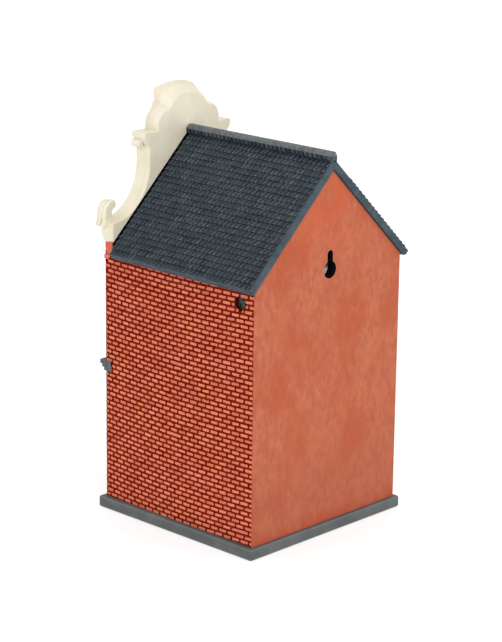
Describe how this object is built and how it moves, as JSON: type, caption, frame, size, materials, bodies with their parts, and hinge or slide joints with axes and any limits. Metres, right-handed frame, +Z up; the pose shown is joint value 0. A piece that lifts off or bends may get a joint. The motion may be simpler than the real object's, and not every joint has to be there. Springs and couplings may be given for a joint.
{
  "type": "nest box",
  "caption": "Hanging nest box shaped as a brick canal house with a neck gable, dark pantiled roof, round entrance hole and keyhole in the back wall.",
  "frame": {"origin": "on the ground, at the middle of the brick body's footprint", "axes": "+Z up, the front and its entrance hole face -Y, the back wall with the keyhole faces +Y, +X to the right as seen from the front"},
  "size_m": [0.1552, 0.1496, 0.2927],
  "materials": {
    "brick": "painted cast resin, matt brick with dark red joints",
    "terracotta": "painted cast resin, brushed matt terracotta",
    "slate": "painted cast resin, dark blue-grey pantiles with lighter dry-brushed rolls",
    "ridge": "painted cast resin, mid grey",
    "plinth": "painted cast resin, smooth grey",
    "cream": "painted cast resin, smooth cream",
    "grey_trim": "painted cast resin, matt grey",
    "pocket_grey": "unpainted cast resin, light blue-grey",
    "pane": "painted blind pane, satin",
    "door": "painted dark green, satin"
  },
  "bodies": {
    "root": {"base_plate": "plinth", "back_wall": "terracotta", "side_wall_right": "brick", "side_wall_left": "brick", "front_wall": "brick", "keyhole_pocket": "pocket_grey", "roof_slope_right": "slate", "roof_slope_left": "slate", "verge_border_right": "slate", "verge_border_left": "slate", "eave_border_right": "slate", "eave_border_left": "slate", "ridge_cap": "ridge", "gable_panel": "cream", "neck_facing": "brick", "sweep_moulding_right": "cream", "sweep_moulding_left": "cream", "gable_scroll_right": "cream", "gable_scroll_left": "cream", "shoulder_cornice_right": "cream", "shoulder_cornice_left": "cream", "gable_cornice": "cream", "pediment": "cream", "pediment_crest": "cream", "string_course": "grey_trim", "entrance_ring": "cream", "door_frame": "cream", "front_door": "door", "fanlight": "pane", "door_step": "grey_trim", "ground_frame_right": "cream", "ground_frame_left": "cream", "ground_pane_right": "pane", "ground_pane_left": "pane", "ground_sill_right": "grey_trim", "ground_sill_left": "grey_trim", "upper_frame_right": "cream", "upper_frame_left": "cream", "upper_pane_right": "pane", "upper_pane_left": "pane", "upper_sill_right": "grey_trim", "upper_sill_left": "grey_trim", "attic_frame": "cream", "attic_pane": "pane", "attic_sill": "grey_trim"}
  },
  "joints": []
}
